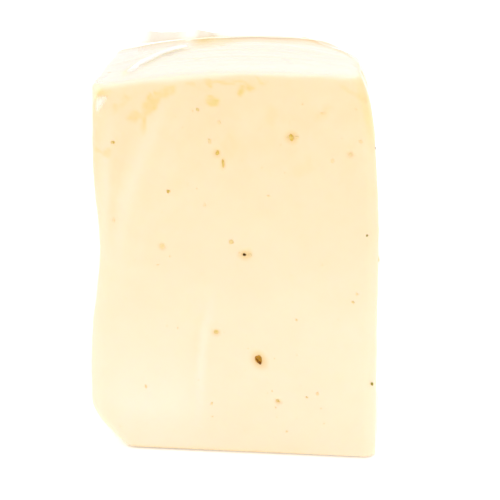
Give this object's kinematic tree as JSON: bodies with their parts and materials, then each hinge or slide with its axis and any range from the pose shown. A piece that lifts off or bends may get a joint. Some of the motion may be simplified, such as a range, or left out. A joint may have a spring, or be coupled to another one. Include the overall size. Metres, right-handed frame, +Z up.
{
  "type": "garlic havarti cheese",
  "caption": "Thick cut of pale garlic cheese standing on its end, tightly wrapped in thin clear film with pleats and a tuck over the top and a lapped seam down the back.",
  "frame": {"origin": "centre of the bounding box at the base that the cheese stands on", "axes": "+Z up along the tall side of the cut, the wide face with the eyes faces -Y, +X to the right as seen from the front"},
  "size_m": [0.093, 0.0452, 0.129],
  "materials": {
    "cheese": "smooth, soft and slightly waxy, with small open eyes and dark flecks",
    "film": "thin clear glossy plastic film, milky where it lies in pleats"
  },
  "bodies": {
    "root": {"cheese_block": "cheese", "film_wrap": "film"}
  },
  "joints": []
}
